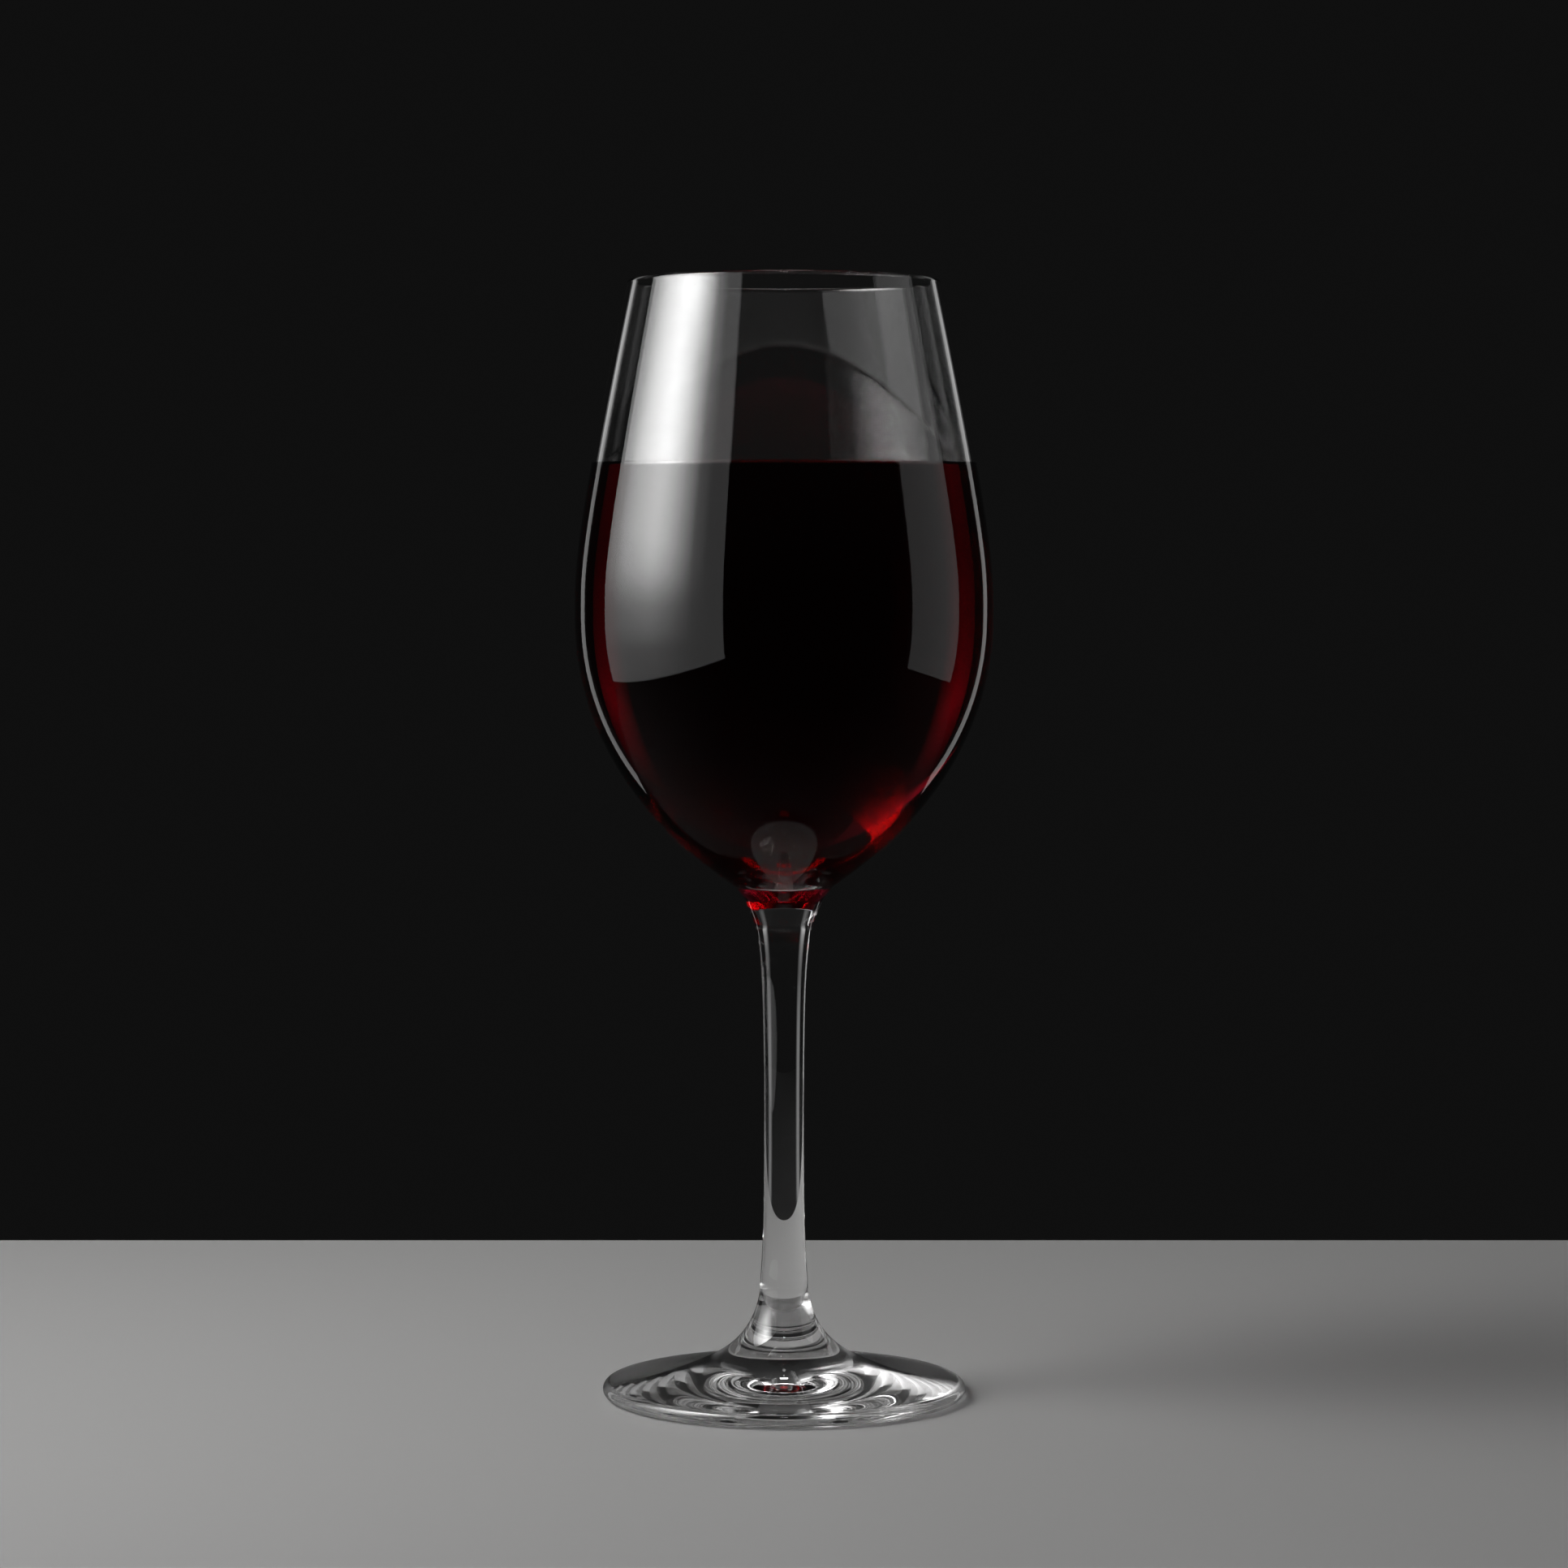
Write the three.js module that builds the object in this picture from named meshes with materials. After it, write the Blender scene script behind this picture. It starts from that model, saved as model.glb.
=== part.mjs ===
import * as THREE from "three";

// A stemmed wine glass with red wine in it. Millimetres, +Z up.
// The axis of the glass is the Z axis and its foot stands on Z = 0.
// Every outline below is a half section, as radius and height, that is turned about the axis.

// Overall sizes of the glass
const GLASS_HEIGHT = 222;
const RIM_RADIUS = 31;
const BELLY_RADIUS = 41.5;
const BELLY_HEIGHT = 156.6;
const STEM_RADIUS = 3.95;
const STEM_WAIST_HEIGHT = 55;
const FOOT_RADIUS = 36.2;

// Wall of the bowl: thinnest at the rim, with solid glass below the floor
const RIM_WALL = 1.5;
const BELLY_WALL = 1.7;
const BOWL_FLOOR = 103.4;

// Curve of the bowl above the belly: it draws in towards the rim at a steady lean
const BELLY_PULL_UP = 8.8;
const RIM_PULL = 49;
const RIM_LEAN = 0.211;

// Curve of the bowl below the belly: it runs down into a blunt cone
const BELLY_PULL_DOWN = 8;
const CONE_PULL = 21.3;
const CONE_LEAN = 1.486;
const CONE_RADIUS = 9.6;
const CONE_HEIGHT = 101.8;

// Inside of the bowl below the belly: a round floor
const INSIDE_PULL_DOWN = 34.5;
const FLOOR_PULL = 10.5;

// Neck between bowl and stem: two short tapers that meet in soft ring corners
const COLLAR_RADIUS = 7.65;
const COLLAR_HEIGHT = 99.1;
const SHOULDER_RADIUS = 5.8;
const SHOULDER_HEIGHT = 94.4;
const CORNER_LEG = 0.8;
const STEM_TOP_LEAN = 0.3;
const STEM_TOP_PULL = 5;
const STEM_UPPER_PULL = 24;

// Lower end of the stem: a slight swelling where the foot was joined on
const JOINT_RADIUS = 4.8;
const JOINT_HEIGHT = 20.8;
const STEM_LOWER_PULL = 30;
const JOINT_PULL_UP = 5.2;

// Foot: a hollow sweep out to a round edge, on a flat ring with a shallow dome inside it
const SWEEP_OUT = 1.6;
const SWEEP_DOWN = 8.7;
const SWEEP_KNEE_RADIUS = 11.6;
const SWEEP_KNEE_HEIGHT = 4.9;
const FOOT_EDGE = 2.9;
const RING_INNER_RADIUS = 30;
const DOME_HEIGHT = 1.8;
const DOME_PULL = 14;

// Wine: kept clear of the wall, with a rim that climbs the wall a little
const WINE_LEVEL = 184.9;
const WALL_GAP = 0.3;
const CLIMB = 0.8;
const CLIMB_WIDTH = 2.6;

// Fineness
const SEGMENTS = 52;
const BOWL_STEPS = 12;
const STEM_STEPS = 6;
const SWEEP_STEPS = 12;
const EDGE_STEPS = 6;
const DOME_STEPS = 4;
const CORNER_STEPS = 2;
const CLIMB_STEPS = 4;
const WET_STEPS = 18;
const SAME_POINT = 0.001;

const point = (radius, height) => new THREE.Vector2(radius, height);

const bow = (start, leaving, arriving, end) => new THREE.CubicBezierCurve(start, leaving, arriving, end);

// A soft corner: leaves the straight lines to its two neighbours a short leg before and after it
function softCorner(before, corner, after) {
  const start = before.clone().sub(corner).setLength(CORNER_LEG).add(corner);
  const end = after.clone().sub(corner).setLength(CORNER_LEG).add(corner);
  return new THREE.QuadraticBezierCurve(start, corner, end).getPoints(CORNER_STEPS);
}

// Half a turn around a centre, from the angle given, as for the foot's edge and the rim
function halfRound(centre, radius, fromAngle) {
  const points = [];
  for (let i = 0; i <= EDGE_STEPS; i += 1) {
    const angle = fromAngle + (Math.PI * i) / EDGE_STEPS;
    points.push(point(centre.x + radius * Math.cos(angle), centre.y + radius * Math.sin(angle)));
  }
  return points;
}

// Puts runs of points end to end, without the repeats where they meet
function joined(...runs) {
  const points = [];
  for (const next of runs.flat()) {
    if (points.length === 0 || points[points.length - 1].distanceTo(next) > SAME_POINT) {
      points.push(next);
    }
  }
  return points;
}

// Points beside a curve, to the left of its run
function beside(curve, distance, steps) {
  const points = [];
  for (let i = 0; i <= steps; i += 1) {
    const along = curve.getTangent(i / steps);
    const aside = point(-along.y, along.x).multiplyScalar(distance);
    points.push(curve.getPoint(i / steps).add(aside));
  }
  return points;
}

function turned(name, points, material) {
  const geometry = new THREE.LatheGeometry(points, SEGMENTS);
  geometry.rotateX(Math.PI / 2);
  const mesh = new THREE.Mesh(geometry, material);
  mesh.name = name;
  return mesh;
}

// Foot, from the middle of its underside out to the edge and back up to the stem
const edgeRound = FOOT_EDGE / 2;
const edgeCentre = point(FOOT_RADIUS - edgeRound, edgeRound);
const underside = bow(
  point(0, DOME_HEIGHT),
  point(DOME_PULL, DOME_HEIGHT),
  point(RING_INNER_RADIUS - DOME_PULL, 0),
  point(RING_INNER_RADIUS, 0),
);
const footEdge = halfRound(edgeCentre, edgeRound, -Math.PI / 2);
const joint = point(JOINT_RADIUS, JOINT_HEIGHT);
const footTop = bow(
  point(edgeCentre.x, FOOT_EDGE),
  point(SWEEP_KNEE_RADIUS, SWEEP_KNEE_HEIGHT),
  point(JOINT_RADIUS + SWEEP_OUT, JOINT_HEIGHT - SWEEP_DOWN),
  joint,
);

// Stem and neck, from the joint up to the cone under the bowl
const waist = point(STEM_RADIUS, STEM_WAIST_HEIGHT);
const lowerStem = bow(
  joint,
  point(JOINT_RADIUS, JOINT_HEIGHT + JOINT_PULL_UP),
  point(STEM_RADIUS, STEM_WAIST_HEIGHT - STEM_LOWER_PULL),
  waist,
);
const shoulder = point(SHOULDER_RADIUS, SHOULDER_HEIGHT);
const belowShoulder = point(SHOULDER_RADIUS - STEM_TOP_LEAN * STEM_TOP_PULL, SHOULDER_HEIGHT - STEM_TOP_PULL);
const stemTop = shoulder.clone().lerp(belowShoulder, CORNER_LEG / STEM_TOP_PULL);
const upperStem = bow(waist, point(STEM_RADIUS, STEM_WAIST_HEIGHT + STEM_UPPER_PULL), belowShoulder, stemTop);
const collar = point(COLLAR_RADIUS, COLLAR_HEIGHT);
const cone = point(CONE_RADIUS, CONE_HEIGHT);
const aboveCone = point(CONE_RADIUS + CONE_LEAN * CONE_PULL, CONE_HEIGHT + CONE_PULL);

// Bowl, up its outside, over the rim and down its inside
const rimRound = RIM_WALL / 2;
const rimHeight = GLASS_HEIGHT - rimRound;
const belly = point(BELLY_RADIUS, BELLY_HEIGHT);
const coneTop = cone.clone().lerp(aboveCone, CORNER_LEG / CONE_PULL);
const outsideLower = bow(coneTop, aboveCone, point(BELLY_RADIUS, BELLY_HEIGHT - BELLY_PULL_DOWN), belly);
const outsideUpper = bow(
  belly,
  point(BELLY_RADIUS, BELLY_HEIGHT + BELLY_PULL_UP),
  point(RIM_RADIUS + RIM_LEAN * RIM_PULL, rimHeight - RIM_PULL),
  point(RIM_RADIUS, rimHeight),
);
const rim = halfRound(point(RIM_RADIUS - rimRound, rimHeight), rimRound, 0);
const insideBelly = point(BELLY_RADIUS - BELLY_WALL, BELLY_HEIGHT);
const insideRim = point(RIM_RADIUS - RIM_WALL, rimHeight);
const insideLower = bow(
  point(0, BOWL_FLOOR),
  point(FLOOR_PULL, BOWL_FLOOR),
  point(insideBelly.x, BELLY_HEIGHT - INSIDE_PULL_DOWN),
  insideBelly,
);
const insideUpper = bow(
  insideBelly,
  point(insideBelly.x, BELLY_HEIGHT + BELLY_PULL_UP),
  point(insideRim.x + RIM_LEAN * RIM_PULL, rimHeight - RIM_PULL),
  insideRim,
);

const glassOutline = joined(
  underside.getPoints(DOME_STEPS),
  footEdge,
  footTop.getPoints(SWEEP_STEPS),
  lowerStem.getPoints(STEM_STEPS),
  upperStem.getPoints(STEM_STEPS),
  softCorner(belowShoulder, shoulder, collar),
  softCorner(shoulder, collar, cone),
  softCorner(collar, cone, aboveCone),
  outsideLower.getPoints(BOWL_STEPS),
  outsideUpper.getPoints(BOWL_STEPS),
  rim,
  insideUpper.getPoints(BOWL_STEPS).reverse(),
  insideLower.getPoints(BOWL_STEPS).reverse(),
);

// Wine, from the middle of its underside up along the wall and back over its surface
const wetWall = joined(beside(insideLower, WALL_GAP, BOWL_STEPS), beside(insideUpper, WALL_GAP, WET_STEPS));
const crest = WINE_LEVEL + CLIMB;
const firstDry = wetWall.findIndex((place) => place.y >= crest);
const lastWet = wetWall[firstDry - 1];
const risen = (crest - lastWet.y) / (wetWall[firstDry].y - lastWet.y);
const crestPoint = lastWet.clone().lerp(wetWall[firstDry], risen);
const surface = [];
for (let i = 0; i <= CLIMB_STEPS; i += 1) {
  const inward = i / CLIMB_STEPS;
  surface.push(point(crestPoint.x - CLIMB_WIDTH * inward, WINE_LEVEL + CLIMB * (1 - inward) ** 2));
}
const wineOutline = joined(wetWall.slice(0, firstDry), surface, [point(0, WINE_LEVEL)]);

const clearGlass = new THREE.MeshStandardMaterial({ color: 0xdfe6e6, roughness: 0.05, metalness: 0 });
const redWine = new THREE.MeshStandardMaterial({ color: 0x4a0714, roughness: 0.08, metalness: 0 });

const wineGlass = new THREE.Group();
wineGlass.name = "glass_of_red_wine";
wineGlass.add(turned("glass", glassOutline, clearGlass));
wineGlass.add(turned("wine", wineOutline, redWine));

export default wineGlass;
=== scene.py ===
import math
import bpy
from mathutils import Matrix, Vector


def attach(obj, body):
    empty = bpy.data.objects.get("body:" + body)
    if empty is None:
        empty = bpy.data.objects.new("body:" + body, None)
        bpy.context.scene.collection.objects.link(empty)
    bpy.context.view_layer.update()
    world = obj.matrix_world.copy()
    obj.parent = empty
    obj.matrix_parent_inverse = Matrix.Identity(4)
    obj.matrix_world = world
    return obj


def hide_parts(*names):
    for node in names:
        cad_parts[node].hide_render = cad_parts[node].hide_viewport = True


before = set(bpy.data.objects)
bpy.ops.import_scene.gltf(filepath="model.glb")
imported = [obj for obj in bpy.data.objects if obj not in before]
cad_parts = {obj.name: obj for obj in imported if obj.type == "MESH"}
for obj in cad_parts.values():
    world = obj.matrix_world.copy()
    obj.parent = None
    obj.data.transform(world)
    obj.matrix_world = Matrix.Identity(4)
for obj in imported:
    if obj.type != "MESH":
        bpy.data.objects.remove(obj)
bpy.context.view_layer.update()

# The glass: bowl, neck, stem and foot in one piece of clear soda-lime glass.
# The bowl is blown, the stem is drawn from it, the foot is pressed on, and the rim is fire polished.
# It is drawn as a half section and spun about its axis.
MM = 0.001
GLASS_HEIGHT = 222
RIM_RADIUS, RIM_WALL = 31, 1.5
BELLY_RADIUS, BELLY_HEIGHT, BELLY_WALL = 41.5, 156.6, 1.7
BELLY_PULL_UP, BELLY_PULL_DOWN = 8.8, 8
RIM_PULL, RIM_LEAN = 49, 0.211
CONE_PULL, CONE_LEAN = 21.3, 1.486
BOWL_FLOOR, FLOOR_PULL, INSIDE_PULL_DOWN = 103.4, 10.5, 34.5
STEM_RADIUS, STEM_WAIST_HEIGHT = 3.95, 55
STEM_LOWER_PULL, STEM_UPPER_PULL = 30, 24
JOINT_RADIUS, JOINT_HEIGHT, JOINT_PULL_UP = 4.8, 20.8, 5.2
FOOT_RADIUS, FOOT_EDGE = 36.2, 2.9
SWEEP_OUT, SWEEP_DOWN, SWEEP_KNEE = 1.6, 8.7, (11.6, 4.9)
RING_INNER_RADIUS, DOME_HEIGHT, DOME_PULL = 30, 1.8, 14
CORNER_LEG = 0.25
WINE_LEVEL = 184.9
QUARTER_ROUND = 0.5523
SPIN_STEPS, BOW_STEPS = 176, 10
SMOOTH_ANGLE = math.radians(40)
MERGE_DISTANCE = 1e-7
RIM_TIP, FOOT_TIP = 0.997, 0.005
GLASS_IOR = 1.51
RIPPLE_SCALE, RIPPLE_STRENGTH, RIPPLE_DEPTH = 28.0, 0.1, 0.0001


def toward(start, end, length):
    """The point a given length from start on the way to end."""
    gap = math.hypot(end[0] - start[0], end[1] - start[1])
    share = length / gap
    return (start[0] + (end[0] - start[0]) * share, start[1] + (end[1] - start[1]) * share)


def half_round(centre, radius, turn):
    """Two quarter bows around a centre, going anticlockwise, turned by quarters from the lowest point."""
    knots = []
    for i in range(3):
        angle = math.pi / 2 * (turn + i - 1)
        knots.append((math.cos(angle), math.sin(angle)))
    bows = []
    for (ax, ay), (bx, by) in zip(knots[:-1], knots[1:]):
        pull = QUARTER_ROUND
        corners = ((ax, ay), (ax - ay * pull, ay + ax * pull), (bx + by * pull, by - bx * pull), (bx, by))
        bows.append([(centre[0] + x * radius, centre[1] + y * radius) for x, y in corners])
    return bows


def soft_corner(before, corner, after):
    """A small bow across a corner, a short leg before and after it."""
    start, end = toward(corner, before, CORNER_LEG), toward(corner, after, CORNER_LEG)
    return [start, toward(start, corner, CORNER_LEG * 2 / 3), toward(end, corner, CORNER_LEG * 2 / 3), end]


def straight(start, end):
    """A bow that runs straight from one point to the next."""
    gap = math.hypot(end[0] - start[0], end[1] - start[1]) / 3
    return [start, toward(start, end, gap), toward(end, start, gap), end]


def split_bow(bow, share):
    """Cuts a bow in two at a share of its run."""
    rows = [list(bow)]
    while len(rows[-1]) > 1:
        rows.append([
            (a[0] + (b[0] - a[0]) * share, a[1] + (b[1] - a[1]) * share)
            for a, b in zip(rows[-1][:-1], rows[-1][1:])
        ])
    return [row[0] for row in rows], [row[-1] for row in rows[::-1]]


def quarters(bow):
    """A long bow as four short ones, for a finer mesh."""
    first, second = split_bow(bow, 0.5)
    return [*split_bow(first, 0.5), *split_bow(second, 0.5)]


def spin_section(name, bows):
    """Draws bows of four points each (radius and height in mm) as one spline and spins it about the axis."""
    bpy.ops.object.select_all(action="DESELECT")
    bpy.ops.curve.primitive_bezier_curve_add(location=(0, 0, 0))
    section = bpy.context.object
    section.name = section.data.name = name
    section.data.dimensions = "3D"
    section.data.resolution_u = BOW_STEPS
    spline = section.data.splines[0]
    spline.bezier_points.add(len(bows) + 1 - len(spline.bezier_points))
    for i, knot in enumerate(spline.bezier_points):
        place = bows[i][0] if i < len(bows) else bows[-1][3]
        leaving = bows[i][1] if i < len(bows) else place
        arriving = bows[i - 1][2] if i > 0 else place
        knot.handle_left_type = knot.handle_right_type = "FREE"
        knot.co = (place[0] * MM, 0, place[1] * MM)
        knot.handle_left = (arriving[0] * MM, 0, arriving[1] * MM)
        knot.handle_right = (leaving[0] * MM, 0, leaving[1] * MM)
    bpy.ops.object.convert(target="MESH")
    bpy.ops.object.mode_set(mode="EDIT")
    bpy.ops.mesh.select_all(action="SELECT")
    bpy.ops.mesh.spin(steps=SPIN_STEPS, angle=2 * math.pi, center=(0, 0, 0), axis=(0, 0, 1))
    bpy.ops.mesh.select_all(action="SELECT")
    bpy.ops.mesh.remove_doubles(threshold=MERGE_DISTANCE)
    bpy.ops.mesh.select_all(action="SELECT")
    bpy.ops.mesh.normals_make_consistent(inside=False)
    bpy.ops.object.mode_set(mode="OBJECT")
    bpy.ops.object.shade_smooth_by_angle(angle=SMOOTH_ANGLE)
    return bpy.context.object


edge_round = FOOT_EDGE / 2
edge_centre = (FOOT_RADIUS - edge_round, edge_round)
rim_height = GLASS_HEIGHT - RIM_WALL / 2
rim_tilt = math.atan(RIM_LEAN)
rim_round = RIM_WALL / 2 * math.cos(rim_tilt)
rim_bows = half_round((RIM_RADIUS - RIM_WALL / 2, rim_height), rim_round, 1 + rim_tilt / (math.pi / 2))
joint = (JOINT_RADIUS, JOINT_HEIGHT)
waist = (STEM_RADIUS, STEM_WAIST_HEIGHT)
below_shoulder, shoulder = (4.3, 89.4), (5.8, 94.4)
collar, cone = (7.65, 99.1), (9.6, 101.8)
above_cone = (cone[0] + CONE_LEAN * CONE_PULL, cone[1] + CONE_PULL)
belly = (BELLY_RADIUS, BELLY_HEIGHT)
inside_belly = (BELLY_RADIUS - BELLY_WALL, BELLY_HEIGHT)
inside_lower = [
    (0, BOWL_FLOOR),
    (FLOOR_PULL, BOWL_FLOOR),
    (inside_belly[0], BELLY_HEIGHT - INSIDE_PULL_DOWN),
    inside_belly,
]
inside_upper = [
    inside_belly,
    (inside_belly[0], BELLY_HEIGHT + BELLY_PULL_UP),
    (RIM_RADIUS - RIM_WALL + RIM_LEAN * RIM_PULL, rim_height - RIM_PULL),
    rim_bows[1][3],
]
outside_lower_end = (BELLY_RADIUS, BELLY_HEIGHT - BELLY_PULL_DOWN)
outside_upper = [
    belly,
    (BELLY_RADIUS, BELLY_HEIGHT + BELLY_PULL_UP),
    (RIM_RADIUS + RIM_LEAN * RIM_PULL, rim_height - RIM_PULL),
    rim_bows[0][0],
]
shoulder_bow = soft_corner(below_shoulder, shoulder, collar)
collar_bow = soft_corner(shoulder, collar, cone)
cone_bow = soft_corner(collar, cone, above_cone)
# A short last length of each long bow keeps its shading true right up to the round next to it
outside_wall, outside_tip = split_bow(outside_upper, RIM_TIP)
inside_wall, inside_tip = split_bow(inside_upper, RIM_TIP)
foot_top = [
    (edge_centre[0], FOOT_EDGE),
    SWEEP_KNEE,
    (JOINT_RADIUS + SWEEP_OUT, JOINT_HEIGHT - SWEEP_DOWN),
    joint,
]
foot_tip, foot_sweep = split_bow(foot_top, FOOT_TIP)
glass_bows = [
    [(0, DOME_HEIGHT), (DOME_PULL, DOME_HEIGHT), (RING_INNER_RADIUS - DOME_PULL, 0), (RING_INNER_RADIUS, 0)],
    straight((RING_INNER_RADIUS, 0), (edge_centre[0], 0)),
    *half_round(edge_centre, edge_round, 0),
    foot_tip,
    *quarters(foot_sweep),
    [
        joint,
        (JOINT_RADIUS, JOINT_HEIGHT + JOINT_PULL_UP),
        (STEM_RADIUS, STEM_WAIST_HEIGHT - STEM_LOWER_PULL),
        waist,
    ],
    [waist, (STEM_RADIUS, STEM_WAIST_HEIGHT + STEM_UPPER_PULL), below_shoulder, shoulder_bow[0]],
    shoulder_bow,
    straight(shoulder_bow[3], collar_bow[0]),
    collar_bow,
    straight(collar_bow[3], cone_bow[0]),
    cone_bow,
    *quarters([cone_bow[3], above_cone, outside_lower_end, belly]),
    *quarters(outside_wall),
    outside_tip,
    *rim_bows,
    inside_tip[::-1],
    *quarters(inside_wall[::-1]),
    *quarters(inside_lower[::-1]),
]
glass = spin_section("wine_glass", glass_bows)

clear_glass = bpy.data.materials.new("clear_glass")
clear_glass.use_nodes = True
shader = clear_glass.node_tree.nodes["Principled BSDF"]
shader.inputs["Base Color"].default_value = (1, 1, 1, 1)
shader.inputs["Roughness"].default_value = 0.0
shader.inputs["IOR"].default_value = GLASS_IOR
shader.inputs["Transmission Weight"].default_value = 1.0
# Blown glass has a faint ripple that makes reflections wander a little
nodes, links = clear_glass.node_tree.nodes, clear_glass.node_tree.links
place = nodes.new("ShaderNodeTexCoord")
waves = nodes.new("ShaderNodeTexNoise")
waves.inputs["Scale"].default_value = RIPPLE_SCALE
waves.inputs["Detail"].default_value = 1.0
ripple = nodes.new("ShaderNodeBump")
ripple.inputs["Strength"].default_value = RIPPLE_STRENGTH
ripple.inputs["Distance"].default_value = RIPPLE_DEPTH
links.new(place.outputs["Object"], waves.inputs["Vector"])
links.new(waves.outputs["Fac"], ripple.inputs["Height"])
links.new(ripple.outputs["Normal"], shader.inputs["Normal"])
glass.data.materials.append(clear_glass)

# Where wine wets the wall, the glass no longer mirrors the room
wet_glass = clear_glass.copy()
wet_glass.name = "wet_glass"
wet_glass.node_tree.nodes["Principled BSDF"].inputs["Specular Tint"].default_value = (0, 0, 0, 1)
glass.data.materials.append(wet_glass)
for face in glass.data.polygons:
    x, y, z = face.center
    inward = face.normal.x * x + face.normal.y * y < 0 or face.normal.z > 0.5
    if inward and BOWL_FLOOR - 1 < z / MM < WINE_LEVEL:
        face.material_index = 1
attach(glass, "root")
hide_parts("glass")

# The wine: a still, deep red wine that fills the bowl to above its belly.
# It wets the wall, so its outline runs just into the glass, and its edge climbs the wall a little.
# Its colour comes from the depth of wine that light has to pass.
WALL_OVERLAP = 0.06
CLIMB, CLIMB_WIDTH = 0.8, 2.6
WINE_IOR = 1.345
WINE_TINT, WINE_DENSITY = (0.744, 0.032, 0.24, 1), 125.0
SURFACE_SHINE = 0.6


def cut_at_height(bow, height):
    """The first part of a rising bow, up to a height."""
    low, high = 0.0, 1.0
    for _ in range(50):
        share = (low + high) / 2
        lower_part = split_bow(bow, share)[0]
        low, high = (share, high) if lower_part[3][1] < height else (low, share)
    return lower_part


wet_lower = [(0, BOWL_FLOOR - WALL_OVERLAP), (FLOOR_PULL, BOWL_FLOOR - WALL_OVERLAP)]
wet_lower += [(r + WALL_OVERLAP, z) for r, z in inside_lower[2:]]
wet_upper = cut_at_height([(r + WALL_OVERLAP, z) for r, z in inside_upper], WINE_LEVEL + CLIMB)
crest = wet_upper[3]
brim = (crest[0] - CLIMB_WIDTH, WINE_LEVEL)
wine_bows = [
    *quarters(wet_lower),
    *quarters(wet_upper),
    [crest, (crest[0] - 0.1, crest[1] - CLIMB * 0.85), (crest[0] - CLIMB_WIDTH * 0.4, WINE_LEVEL), brim],
    straight(brim, (0, WINE_LEVEL)),
]
wine = spin_section("red_wine", wine_bows)

wine_red = bpy.data.materials.new("wine_red")
wine_red.use_nodes = True
nodes, links = wine_red.node_tree.nodes, wine_red.node_tree.links
shader = nodes["Principled BSDF"]
shader.inputs["Base Color"].default_value = (1, 1, 1, 1)
shader.inputs["Roughness"].default_value = 0.0
shader.inputs["IOR"].default_value = WINE_IOR
shader.inputs["Transmission Weight"].default_value = 1.0
depth_colour = nodes.new("ShaderNodeVolumeAbsorption")
depth_colour.inputs["Color"].default_value = WINE_TINT
depth_colour.inputs["Density"].default_value = WINE_DENSITY
# Only the open surface shines, not the side that lies against the wall
place = nodes.new("ShaderNodeTexCoord")
height = nodes.new("ShaderNodeSeparateXYZ")
open_surface = nodes.new("ShaderNodeMapRange")
open_surface.inputs["From Min"].default_value = (WINE_LEVEL - 0.06) * MM
open_surface.inputs["From Max"].default_value = (WINE_LEVEL - 0.05) * MM
open_surface.inputs["To Max"].default_value = SURFACE_SHINE
links.new(place.outputs["Object"], height.inputs["Vector"])
links.new(height.outputs["Z"], open_surface.inputs["Value"])
links.new(open_surface.outputs["Result"], shader.inputs["Specular Tint"])
links.new(depth_colour.outputs["Volume"], nodes["Material Output"].inputs["Volume"])
wine.data.materials.append(wine_red)
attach(wine, "root")
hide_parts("wine")

# The stage: a plain pale table top, soft boxes around the glass and the camera.
# The boxes are placed by their angle to the left of the camera's side, in degrees, and lit by radiance.
FLOOR_WIDTH, FLOOR_FRONT, FLOOR_BACK = 1.3, -0.7, 0.2
bpy.ops.object.select_all(action="DESELECT")
bpy.ops.mesh.primitive_plane_add(size=1, location=(0, (FLOOR_FRONT + FLOOR_BACK) / 2, -0.0002))
floor = bpy.context.object
floor.name = "pale_floor"
floor.scale = (FLOOR_WIDTH, FLOOR_BACK - FLOOR_FRONT, 1)
pale = bpy.data.materials.new("pale_floor")
pale.use_nodes = True
pale.node_tree.nodes["Principled BSDF"].inputs["Base Color"].default_value = (0.26, 0.258, 0.256, 1)
pale.node_tree.nodes["Principled BSDF"].inputs["Roughness"].default_value = 0.6
floor.data.materials.append(pale)
floor.visible_glossy = False

world = bpy.data.worlds.new("studio")
bpy.context.scene.world = world
world.use_nodes = True
sky = world.node_tree
toward_sky = sky.nodes.new("ShaderNodeTexCoord")
sky_height = sky.nodes.new("ShaderNodeSeparateXYZ")
dome = sky.nodes.new("ShaderNodeValToRGB")
dome_stops = ((0.12, 0.005), (0.29, 0.008), (0.42, 0.012), (0.57, 0.02), (0.77, 0.04), (1, 0.08))
while len(dome.color_ramp.elements) < len(dome_stops):
    dome.color_ramp.elements.new(0.5)
for stop, (height_share, brightness) in zip(dome.color_ramp.elements, dome_stops):
    stop.position = height_share
    stop.color = (brightness, brightness, brightness, 1)
sky.links.new(toward_sky.outputs["Generated"], sky_height.inputs["Vector"])
sky.links.new(sky_height.outputs["Z"], dome.inputs["Fac"])
sky.links.new(dome.outputs["Color"], sky.nodes["Background"].inputs["Color"])


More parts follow.
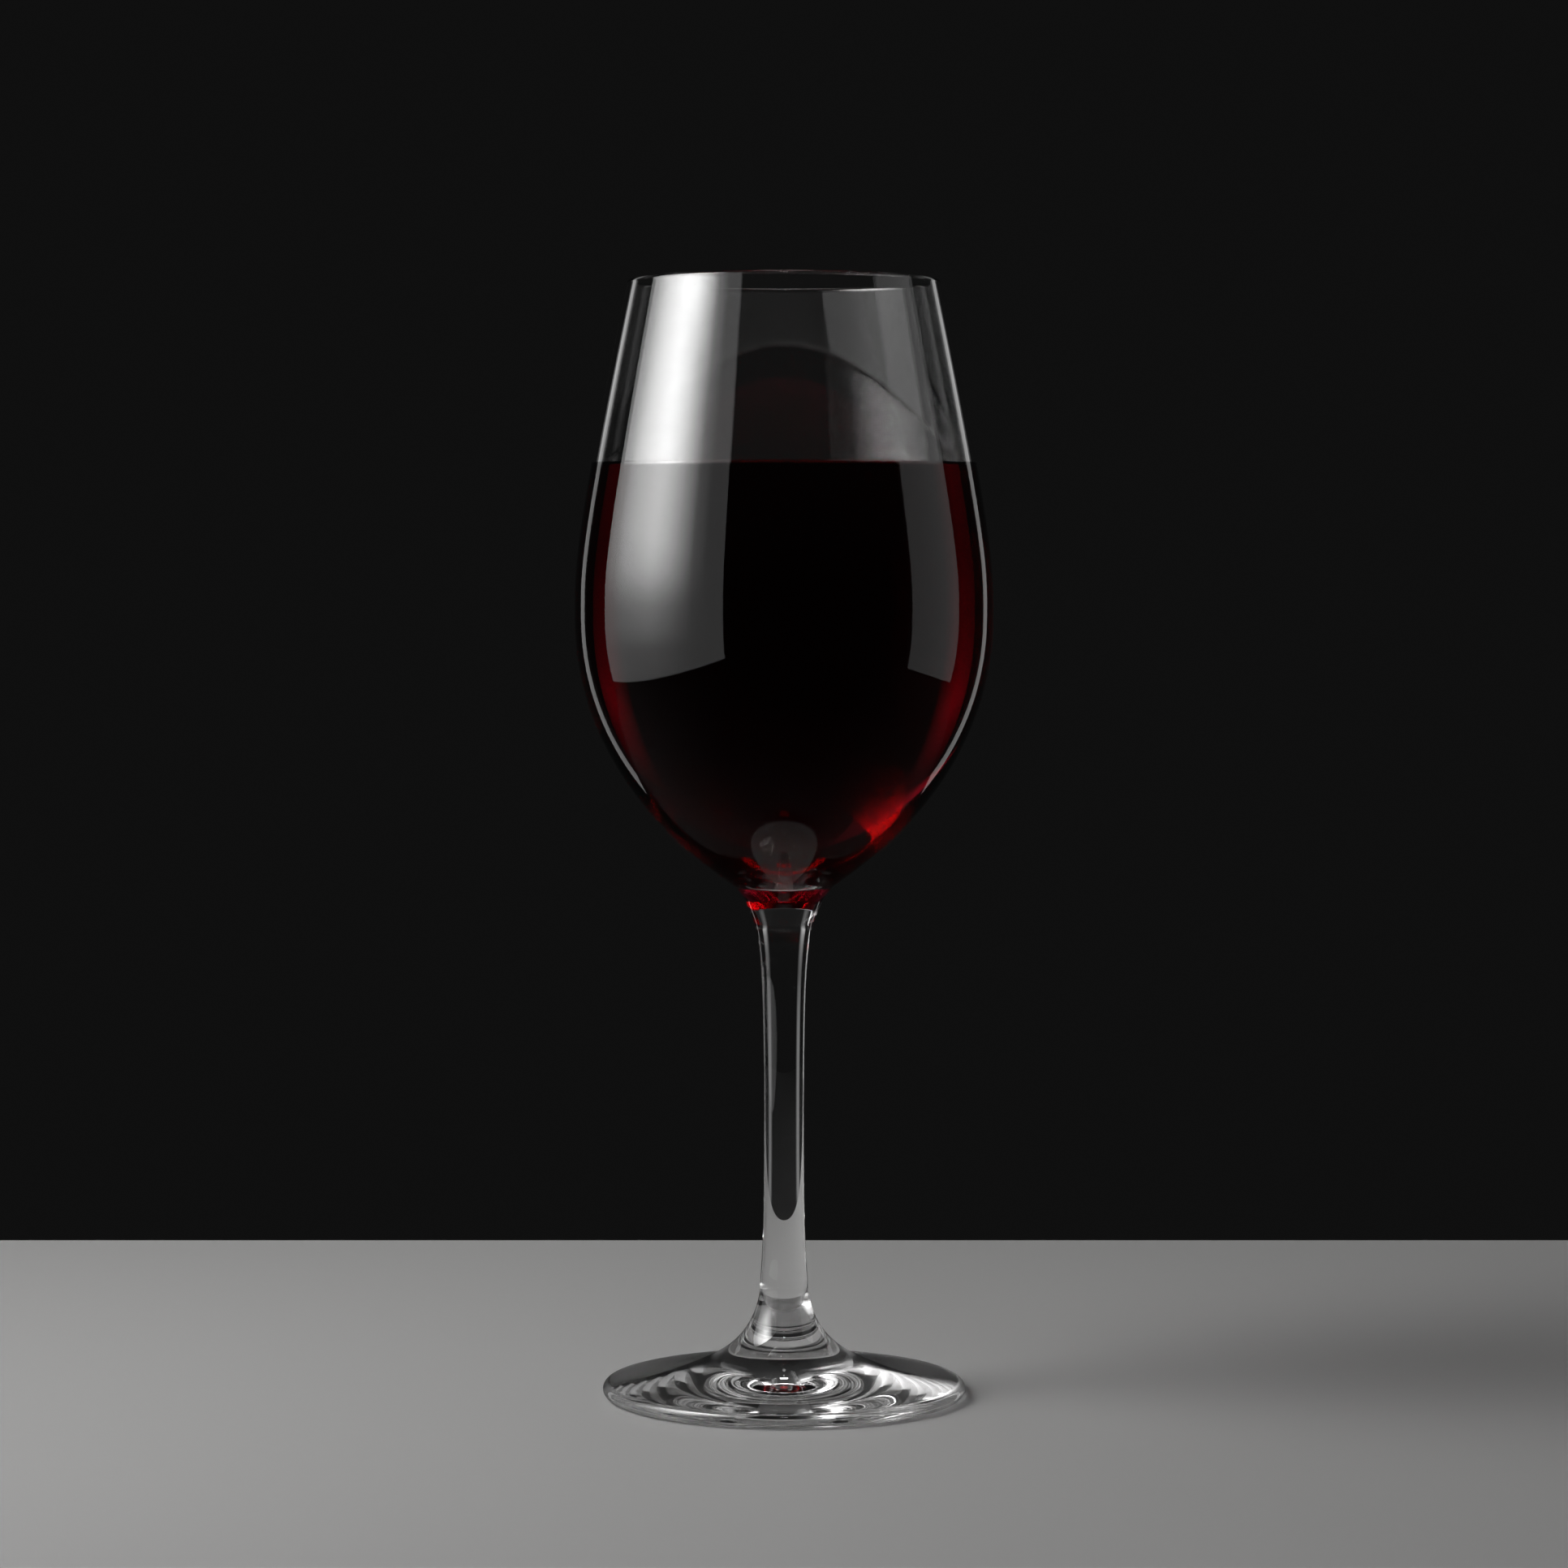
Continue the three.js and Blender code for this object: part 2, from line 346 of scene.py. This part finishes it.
def soft_box(name, start, end, distance, low, high, radiance):
    """A soft box between two angles to the left of the camera's side of the glass, facing the glass."""
    angle = math.radians((start + end) / 2)
    width = 2 * distance * math.tan(math.radians(abs(end - start) / 2))
    place = Vector((-math.sin(angle) * distance, -math.cos(angle) * distance, (low + high) / 2))
    bpy.ops.object.light_add(type="AREA", location=place)
    lamp = bpy.context.object
    lamp.name = name
    lamp.data.shape = "RECTANGLE"
    lamp.data.size, lamp.data.size_y = width, high - low
    lamp.data.energy = radiance * math.pi * width * (high - low)
    lamp.visible_camera = False
    target = Vector((0, 0, place.z))
    lamp.rotation_euler = (target - place).to_track_quat("-Z", "Y").to_euler()
    return lamp


def shade_box(lamp, across, up):
    """Shades a soft box from side to side and from its foot to its top, by pairs of place and brightness."""
    lamp.data.use_nodes = True
    tree = lamp.data.node_tree
    where = tree.nodes.new("ShaderNodeNewGeometry")
    split = tree.nodes.new("ShaderNodeSeparateXYZ")
    both = tree.nodes.new("ShaderNodeMix")
    both.data_type, both.blend_type = "RGBA", "MULTIPLY"
    both.inputs["Factor"].default_value = 1.0
    tree.links.new(where.outputs["Parametric"], split.inputs["Vector"])
    for axis, stops, socket in (("X", across, "A"), ("Y", up, "B")):
        ramp = tree.nodes.new("ShaderNodeValToRGB")
        ramp.color_ramp.interpolation = "LINEAR"
        while len(ramp.color_ramp.elements) < len(stops):
            ramp.color_ramp.elements.new(0.5)
        for element, (share, brightness) in zip(ramp.color_ramp.elements, stops):
            element.position = share
            element.color = (brightness, brightness, brightness, 1)
        tree.links.new(split.outputs[axis], ramp.inputs["Fac"])
        target = next(i for i in both.inputs if i.name == socket and i.type == "RGBA")
        tree.links.new(ramp.outputs["Color"], target)
    result = next(o for o in both.outputs if o.type == "RGBA")
    tree.links.new(result, tree.nodes["Emission"].inputs["Color"])


# Left box: an even cloth with the hot spot of its lamp in it
soft_box("soft_box_left", 32, 112, 0.45, 0.0, 0.8, 0.65)
hot_spot = soft_box("hot_spot_left", 32, 112, 0.46, 0.0, 0.8, 17)
shade_box(
    hot_spot,
    [
        (0, 0.08), (0.13, 0.2), (0.36, 0.75), (0.45, 1), (0.5, 0.98),
        (0.57, 0.8), (0.66, 0.4), (0.75, 0.07), (0.85, 0),
    ],
    [
        (0, 0.012), (0.094, 0.024), (0.188, 0.11), (0.273, 0.4), (0.329, 0.54),
        (0.385, 0.58), (0.48, 0.58), (0.58, 1), (1, 1),
    ],
)
soft_box("soft_box_right", -71, -107, 0.45, 0.02, 0.56, 0.4)

# Strips behind the glass: one for the lines along its edges, one for the glow inside them
for side, name, brightness in ((1, "left", 0.63), (-1, "right", 0.5)):
    line = soft_box("edge_line_" + name, 139 * side, 146 * side, 0.8, -0.25, 0.6, 0.55)
    line.visible_transmission = False
    glow = soft_box("edge_glow_" + name, 140 * side, 154 * side, 0.8, -0.25, 0.55, brightness)
    glow.visible_glossy = False
    across = [(0, 0), (0.3, 0.7), (0.5, 1), (0.8, 0.8), (1, 0.5)]
    if side < 0:
        across = [(1 - share, brightness_there) for share, brightness_there in across[::-1]]
    up = [
        (0, 0.1), (0.19, 0.3), (0.31, 0.3), (0.4, 0.16), (0.49, 0.26),
        (0.61, 0.45), (0.7, 0.8), (0.79, 0.45), (0.94, 0.1),
    ]
    shade_box(glow, across, up)
# A box high up behind the glass, for the glow low in the bowl
high = soft_box("high_light_left", 116, 164, 0.6, 0.45, 0.95, 2)
high.visible_glossy = False
shade_box(
    high,
    [(0, 0.04), (0.11, 0.06), (0.22, 0.1), (0.32, 0.14), (0.4, 0.22), (0.48, 0.42), (0.6, 0.75), (0.7, 1)],
    [(0, 0), (0.12, 1), (0.6, 1), (0.8, 0.6), (1, 0)],
)

# Lamps overhead, in line with the camera: one in front of the mouth, one above it and a bar behind it
LAMP_HEIGHT = 0.9
for name, depth, width, length, brightness in (
    ("front_lamp", -0.44, 0.06, 0.06, 9),
    ("top_lamp", 0.09, 0.08, 0.05, 4),
    ("back_bar", 0.57, 0.14, 0.1, 3),
):
    bpy.ops.object.light_add(type="AREA", location=(0, depth, LAMP_HEIGHT))
    lamp = bpy.context.object
    lamp.name = name
    lamp.data.shape = "RECTANGLE"
    lamp.data.size, lamp.data.size_y = width, length
    lamp.data.energy = brightness * math.pi * width * length
    lamp.visible_camera = False

# Light has to find its way through many layers of glass
LIGHT_BOUNCES = 32
for kind in ("max_bounces", "transmission_bounces", "glossy_bounces"):
    setattr(bpy.context.scene.cycles, kind, LIGHT_BOUNCES)
bpy.context.scene.view_settings.view_transform = "Standard"

# The camera: a long lens a little above the middle of the bowl, tipped slightly down
CAMERA_DISTANCE, CAMERA_HEIGHT, CAMERA_PITCH, CAMERA_LENS = 0.87087, 0.16675, 2.9243, 100.737
bpy.ops.object.camera_add(location=(0, -CAMERA_DISTANCE, CAMERA_HEIGHT))
camera = bpy.context.object
camera.rotation_euler = (math.radians(90 - CAMERA_PITCH), 0, 0)
camera.data.sensor_width = 36
camera.data.lens = CAMERA_LENS
camera.data.clip_start = 0.01
bpy.context.scene.camera = camera
